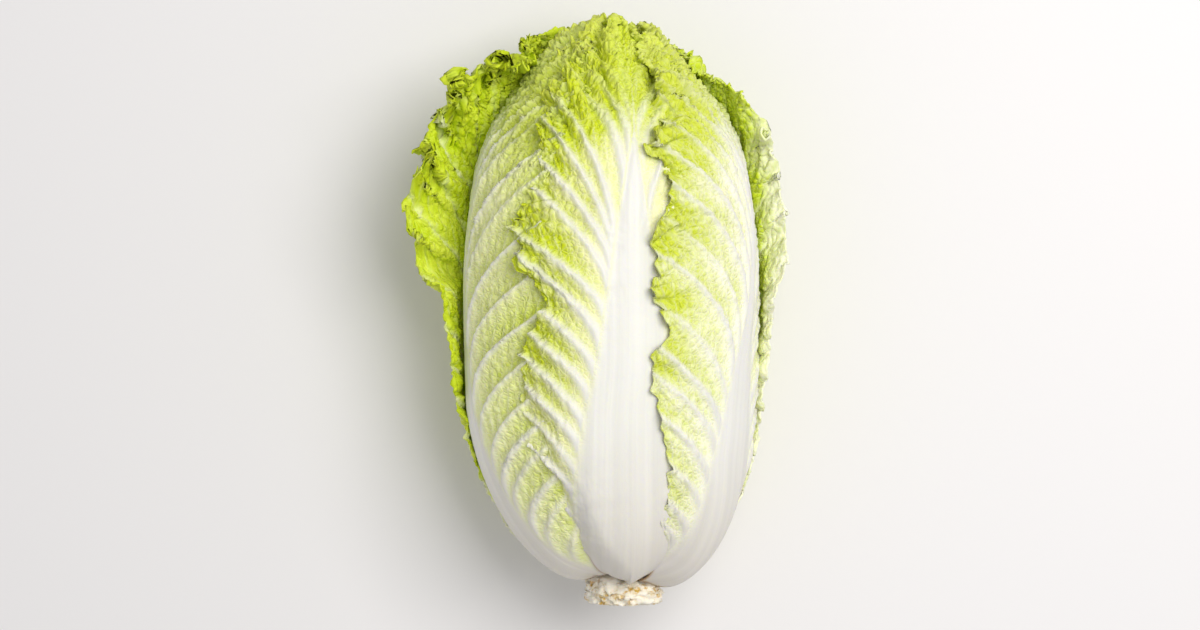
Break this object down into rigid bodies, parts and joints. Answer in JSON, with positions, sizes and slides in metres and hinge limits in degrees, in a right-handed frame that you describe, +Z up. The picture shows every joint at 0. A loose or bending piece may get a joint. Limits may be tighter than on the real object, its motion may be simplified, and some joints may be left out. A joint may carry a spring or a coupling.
{
  "type": "napa cabbage",
  "caption": "Whole napa cabbage lying on its side: broad white petioles and crinkled green leaf blades wrapped in layers round a short stem core.",
  "frame": {"origin": "on the surface that the head lies on, under the middle of the whole head", "axes": "+Y runs from the cut stem to the crown of the head, +Z is up, +X is to the right seen from above with the crown away from the viewer"},
  "size_m": [0.1918, 0.3002, 0.1315],
  "materials": {
    "wrapper_leaf": "satin",
    "head_leaf": "satin",
    "heart_leaf": "satin",
    "stem": "matte"
  },
  "bodies": {
    "root": {"bottom_wrapper_leaf": "wrapper_leaf", "front_leaf": "head_leaf", "heart_leaf_1": "heart_leaf", "heart_leaf_2": "heart_leaf", "heart_leaf_3": "heart_leaf", "inner_leaf_01": "head_leaf", "inner_leaf_02": "head_leaf", "inner_leaf_03": "head_leaf", "inner_leaf_04": "head_leaf", "inner_leaf_05": "head_leaf", "inner_leaf_06": "head_leaf", "inner_leaf_07": "head_leaf", "inner_leaf_08": "head_leaf", "inner_leaf_09": "head_leaf", "inner_leaf_10": "head_leaf", "inner_leaf_11": "head_leaf", "inner_leaf_12": "head_leaf", "inner_leaf_13": "head_leaf", "inner_leaf_14": "head_leaf", "left_leaf": "head_leaf", "left_wrapper_leaf": "wrapper_leaf", "right_leaf": "head_leaf", "right_wrapper_leaf": "wrapper_leaf", "stem_core": "stem"}
  },
  "joints": []
}
